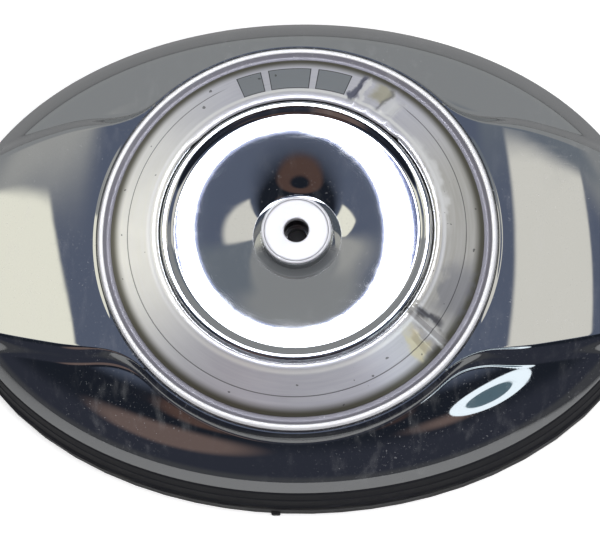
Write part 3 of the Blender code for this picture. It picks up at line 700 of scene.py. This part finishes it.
def brushed_finish():
    material, net, shader = new_finish("brushed_aluminium", (0.80, 0.80, 0.85), 0.3, 0.6)
    radius, turn, _ = radius_and_turn(net)
    brush = ring_pattern(net, radius, turn, 1100.0)
    cloud = net.noise(30.0, 6.0)
    # Painted reflection: the left side is made lighter, creamier and less metallic, the right side darker
    # and browner.
    left = net.ramp(net.math("ABSOLUTE", turn), 110.0, 165.0)
    right = net.ramp(net.math("ABSOLUTE", net.math("ADD", turn, 5.0)), 20.0, 60.0, 1.0, 0.0)
    net.feed(shader.inputs["Metallic"], net.math("MULTIPLY_ADD", left, -0.35, 0.6))
    tone = net.mix(left, (0.72, 0.72, 0.80), (0.98, 0.97, 0.90))
    tone = net.mix(right, tone, (0.60, 0.585, 0.54))
    tone = net.mix(net.ramp(cloud, 0.3, 0.7, 0.0, 0.25), tone, (0.45, 0.45, 0.47))
    tone = net.mix(net.ramp(brush, 0.25, 0.75, 0.0, 0.22), tone, (0.95, 0.95, 0.97))
    # Painted highlight: the inner lip is made white.
    tone = net.mix(net.inside(radius, *LIP_HIGHLIGHT, 0.5 * MM), tone, (1.0, 1.0, 1.0))
    # Painted shade: the ring darkens to olive black towards its outer rim.
    tone = net.mix(net.ramp(radius, *RIM_SHADE), tone, (0.12, 0.115, 0.09))
    ragged = net.math("SUBTRACT", net.noise(150.0, 3.0), 0.5)
    bent_turn = net.math("MULTIPLY_ADD", ragged, 7.0, turn)
    bent_radius = net.math("MULTIPLY_ADD", ragged, -9.0 * MM, radius)
    for low, high, near, far, soft, colour, strength in FOLD_TONES:
        spread = net.inside(bent_turn, low, high, soft)
        shade = net.math("MULTIPLY", spread, net.inside(bent_radius, near * MM, far * MM, 1.5 * MM))
        tone = net.mix(net.math("MULTIPLY", shade, strength), tone, colour)
    behind = net.math("MULTIPLY", net.ramp(turn, 48.0, 52.0), net.ramp(turn, 114.0, 122.0, 1.0, 0.0))
    line = net.math("MULTIPLY", net.inside(radius, LINE_R - 0.16 * MM, LINE_R + 0.16 * MM, 0.06 * MM), 0.75)
    line = net.math("MULTIPLY", line, net.math("SUBTRACT", 1.0, behind))
    tone = net.mix(line, tone, (0.05, 0.05, 0.055))
    fields, grown = 0.0, 0.0
    for low, high in MARK_FIELDS:
        band = net.inside(radius, *MARK_BAND, 0.06 * MM)
        wide_band = net.inside(radius, MARK_BAND[0] - 0.3 * MM, MARK_BAND[1] + 0.3 * MM, 0.06 * MM)
        fields = net.math("MULTIPLY_ADD", band, net.inside(turn, low, high, 0.06), fields)
        grown = net.math("MULTIPLY_ADD", wide_band, net.inside(turn, low - 0.3, high + 0.3, 0.06), grown)
    tone = net.mix(grown, tone, (0.05, 0.05, 0.06))
    tone = net.mix(fields, tone, (0.30, 0.32, 0.34))
    pits = net.ramp(net.noise(420.0, 1.0), 0.76, 0.79)
    tone = net.mix(net.math("MULTIPLY", pits, 0.7), tone, (0.06, 0.06, 0.06))
    net.feed(shader.inputs["Base Color"], tone)
    rough = net.math("MULTIPLY_ADD", brush, 0.12, net.math("MULTIPLY_ADD", cloud, 0.10, 0.22))
    net.feed(shader.inputs["Roughness"], net.math("MULTIPLY_ADD", fields, 0.2, rough))
    height = net.math("SUBTRACT", net.math("MULTIPLY", brush, 0.25), net.math("MULTIPLY", fields, 0.8))
    height = net.math("SUBTRACT", height, line)
    net.feed(shader.inputs["Normal"], net.bump(height, 0.00006, 0.5))
    return material


brushed = brushed_finish()
print("aluminium brushed, with", len(MARK_FIELDS), "plain fields")

# %% Ring surface with its folds
RING_SIDES = 1080


def ring_profile():
    slope = (RING_OUT_Z - RING_TOP_Z) / (RING_OUT - RING_TOP_R)
    outline = [
        (RING_IN, RING_IN_Z - 0.15 * MM, 0.0),
        (RING_IN + 0.35 * MM, RING_TOP_Z - 0.1 * MM, 0.5 * MM),
        (RING_TOP_R + 0.3 * MM, RING_TOP_Z + 0.05 * MM, 1.0 * MM),
    ]
    for r in np.linspace(RING_TOP_R + 1.2 * MM, RING_OUT - 0.5 * MM, 44):
        outline.append((r, RING_TOP_Z + slope * (r - RING_TOP_R), 0.0))
    outline += [
        (RING_OUT, RING_OUT_Z, 0.25 * MM),
        (RING_OUT, RING_OUT_Z - 0.6 * MM, 0.2 * MM),
        (RING_TOP_R, RING_TOP_Z - RING_THICK, 0.3 * MM),
        (RING_IN, RING_IN_Z - RING_THICK, 0.2 * MM),
    ]
    return rounded(outline, 4, closed=True)


# Folds: angle and half width in degrees, inner and outer end of the fold, and its height
FOLDS = (
    (66.5, 1.5, 51.5, 64.0, 1.3),
    (60.5, 2.4, 51.0, 59.0, 0.8),
    (56.0, 2.0, 53.0, 65.0, 1.2),
    (51.0, 2.2, 51.0, 61.0, 0.9),
    (-37.0, 1.5, 50.0, 66.8, 1.25),
    (-42.0, 2.6, 56.0, 66.8, 0.7),
    (-33.5, 1.6, 50.0, 58.0, 0.6),
)


def folded(points):
    """Raises the folds on the ring and bends its inner edge in at the back."""
    points = points.copy()
    radius = np.hypot(points[..., 0], points[..., 1])
    turn = np.degrees(np.arctan2(points[..., 1], points[..., 0]))
    lift = np.zeros_like(radius)
    for angle, half, near, far, height in FOLDS:
        crest = np.clip(1 - np.abs(turn - angle) / half, 0, 1)
        length = np.clip(np.minimum(radius / MM - near + 1.5, far + 1.5 - radius / MM) / 3.0, 0, 1)
        lift = np.maximum(lift, height * MM * crest * length)
    points[..., 2] += lift
    span = ease((turn - 40.0) / 8.0) * ease((144.0 - turn) / 8.0)
    inner = np.clip((RING_TOP_R + 1.0 * MM - radius) / (RING_TOP_R + 1.0 * MM - RING_IN), 0, 1)
    squeeze = 1 - span * inner * 0.9 * MM / radius
    points[..., 0] *= squeeze
    points[..., 1] *= squeeze
    points[..., 2] += 0.35 * MM * span * inner
    print("folds lift the ring by up to", round(lift.max() / MM, 2), "mm")
    return points


ring = loft("trim_ring_brushed", folded(turned(ring_profile(), RING_SIDES)), brushed, 30)
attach(ring, "cover")
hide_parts("trim_ring")

# %% [markdown]
# ## Rubber seal
# A soft black band hooks under the cover's edge and closes the gap down to the backplate. A
# fine moulding line runs round it. It is lofted round the same oval as the cover.

# %% Seal
def rubber_finish(name="black_rubber", colour=(0.015, 0.0155, 0.019)):
    material, net, shader = new_finish(name, colour, 0.55, 0.0)
    shader.inputs["Specular IOR Level"].default_value = 0.22
    grain = net.noise(900.0, 4.0)
    dust = net.ramp(net.noise(60.0, 8.0, roughness=0.7), 0.45, 0.8)
    net.feed(shader.inputs["Base Color"], net.mix(dust, colour, tuple(c * 1.6 + 0.002 for c in colour)))
    net.feed(shader.inputs["Roughness"], net.math("MULTIPLY_ADD", dust, 0.25, 0.42))
    net.feed(shader.inputs["Normal"], net.bump(grain, 0.00005, 0.4))
    return material


rubber = rubber_finish()


def seal_outline():
    return rounded([
        (-1.1 * MM, RIM_Z - 1.3 * MM, 0.0),
        (0.0, RIM_Z - 1.25 * MM, 0.2 * MM),
        (0.5 * MM, RIM_Z - 1.9 * MM, 0.4 * MM),
        (1.6 * MM, 14.6 * MM, 0.4 * MM),
        (1.95 * MM, 14.3 * MM, 0.15 * MM),
        (2.1 * MM, 13.6 * MM, 0.3 * MM),
        (2.9 * MM, PLATE_RIM_Z + 1.6 * MM, 0.5 * MM),
        (3.6 * MM, PLATE_RIM_Z + 1.1 * MM, 0.4 * MM),
        (3.5 * MM, PLATE_RIM_Z + GAP, 0.1 * MM),
        (-4.0 * MM, PLATE_RIM_Z + GAP, 0.0),
        (-4.0 * MM, RIM_Z - 1.8 * MM, 0.2 * MM),
        (-3.1 * MM, RIM_Z - 1.8 * MM, 0.1 * MM),
        (-3.1 * MM, SKIRT_Z - GAP, 0.0),
        (-1.1 * MM, SKIRT_Z - GAP, 0.0),
    ], 4, closed=True)


seal = loft("cover_seal_band", oval_sections(seal_outline()), rubber, 50)
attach(seal, "cover")
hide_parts("cover_seal")

# %% [markdown]
# ## Finishes of the pieces underneath
# The plate is powder coated, which leaves a fine orange peel and catches dust. The gasket is
# pressed fibre, the element's caps are moulded rubber, its media is pleated fibre that has
# darkened, the screens are woven wire, and the screws, sleeves and bracket are zinc plated.
# These pieces keep the frame's own meshes: only their finish changes, and a small bevel on
# the plate, the bracket and its nut rounds the edges that real ones never have sharp.

# %% Black coating, gasket and moulded caps
def grained_finish(name, low, high, grain_scale, depth, roughness, stretch=(1.0, 1.0, 1.0)):
    material, net, shader = new_finish(name, low, roughness, 0.0)
    grain = net.noise(grain_scale, 4.0, stretch)
    cloud = net.ramp(net.noise(45.0, 7.0, roughness=0.7), 0.42, 0.75)
    net.feed(shader.inputs["Base Color"], net.mix(cloud, low, high))
    net.feed(shader.inputs["Roughness"], net.math("MULTIPLY_ADD", cloud, 0.22, roughness))
    net.feed(shader.inputs["Normal"], net.bump(grain, depth, 0.5))
    return material


# Name, darker and lighter colour, grain scale, grain depth, roughness, stretch of the grain
coating = grained_finish(
    "black_coating", (0.012, 0.012, 0.014), (0.045, 0.044, 0.042), 420.0, 0.06 * MM, 0.36
)
paper = grained_finish(
    "gasket_paper", (0.17, 0.15, 0.12), (0.27, 0.24, 0.19), 700.0, 0.08 * MM, 0.75, (1.0, 4.0, 1.0)
)
moulded = grained_finish(
    "moulded_cap", (0.025, 0.025, 0.028), (0.07, 0.068, 0.065), 600.0, 0.05 * MM, 0.55
)
print("coating, paper and moulded caps mixed")


# %% Zinc, pleated media and woven wire
def zinc_finish():
    material, net, shader = new_finish("zinc_plated_steel", (0.60, 0.60, 0.58), 0.35, 1.0)
    cloud = net.noise(120.0, 6.0, roughness=0.7)
    stain = net.ramp(net.noise(60.0, 8.0, roughness=0.75), 0.55, 0.8, 0.0, 0.6)
    tone = net.mix(net.ramp(cloud, 0.3, 0.7), (0.50, 0.51, 0.52), (0.68, 0.68, 0.64))
    net.feed(shader.inputs["Base Color"], net.mix(stain, tone, (0.30, 0.26, 0.18)))
    net.feed(shader.inputs["Roughness"], net.math("MULTIPLY_ADD", cloud, 0.25, 0.22))
    net.feed(shader.inputs["Normal"], net.bump(net.noise(900.0, 3.0, (1.0, 1.0, 0.2)), 0.00003, 0.4))
    return material


def media_finish():
    material, net, shader = new_finish("filter_media", (0.62, 0.50, 0.30), 0.9, 0.0)
    fibre = net.noise(1400.0, 4.0, (1.0, 1.0, 0.25))
    soot = net.ramp(net.noise(70.0, 6.0, roughness=0.7), 0.4, 0.75, 0.0, 0.7)
    tone = net.mix(fibre, (0.70, 0.58, 0.36), (0.50, 0.39, 0.22))
    net.feed(shader.inputs["Base Color"], net.mix(soot, tone, (0.20, 0.16, 0.11)))
    net.feed(shader.inputs["Normal"], net.bump(fibre, 0.00015, 0.7))
    return material


def woven_finish():
    """Wires 1.6 mm apart, up and round: the gaps between them are drawn dark."""
    material, net, shader = new_finish("wire_screen", (0.55, 0.55, 0.55), 0.4, 1.0)
    radius, turn, height = radius_and_turn(net)
    wires = []
    for value, spacing in ((turn, 1.1), (height, 1.6 * MM)):
        phase = net.math("FRACT", net.math("DIVIDE", value, spacing))
        wires.append(net.ramp(net.math("ABSOLUTE", net.math("SUBTRACT", phase, 0.5)), 0.16, 0.26, 1.0, 0.0))
    wire = net.math("MAXIMUM", *wires)
    net.feed(shader.inputs["Base Color"], net.mix(wire, (0.05, 0.042, 0.03), (0.62, 0.62, 0.60)))
    net.feed(shader.inputs["Metallic"], wire)
    net.feed(shader.inputs["Roughness"], net.math("MULTIPLY_ADD", net.noise(300.0, 4.0), 0.2, 0.3))
    net.feed(shader.inputs["Normal"], net.bump(wire, 0.0002, 0.8))
    return material


zinc, media, woven = zinc_finish(), media_finish(), woven_finish()
print("zinc, media and wire mixed")

# %% Give every remaining piece its finish
NUMBERED = ("cap_sleeve", "bracket_screw", "throttle_screw")
FINISHES = (
    (coating, ("backplate",)),
    (paper, ("throttle_gasket",)),
    (moulded, ("element_bottom_cap", "element_top_cap")),
    (media, ("pleated_media",)),
    (woven, ("outer_screen", "inner_screen")),
    (rubber, tuple(f"breather_{kind}_{side}" for kind in ("seal", "hose") for side in ("left", "right"))),
    (zinc, ("cover_bracket", "bracket_nut")),
    (zinc, tuple(f"breather_{kind}_{side}" for kind in ("bolt", "washer") for side in ("left", "right"))),
    (zinc, tuple(f"{kind}_{k}" for kind in NUMBERED for k in (1, 2, 3))),
)
BEVELLED = ("backplate", "cover_bracket", "bracket_nut")
BEVEL_SIZE = 0.25 * MM

for material, names in FINISHES:
    for name in names:
        node = bpy.data.objects[name]
        for slot in node.material_slots:
            slot.link = "OBJECT"
            slot.material = material
        if name in BEVELLED:
            bevel = node.modifiers.new("rounded_edges", "BEVEL")
            bevel.width = BEVEL_SIZE
            bevel.segments = 2
            bevel.limit_method = "ANGLE"
            bevel.angle_limit = math.radians(40)
print("finished", sum(len(names) for _, names in FINISHES), "pieces under the cover")
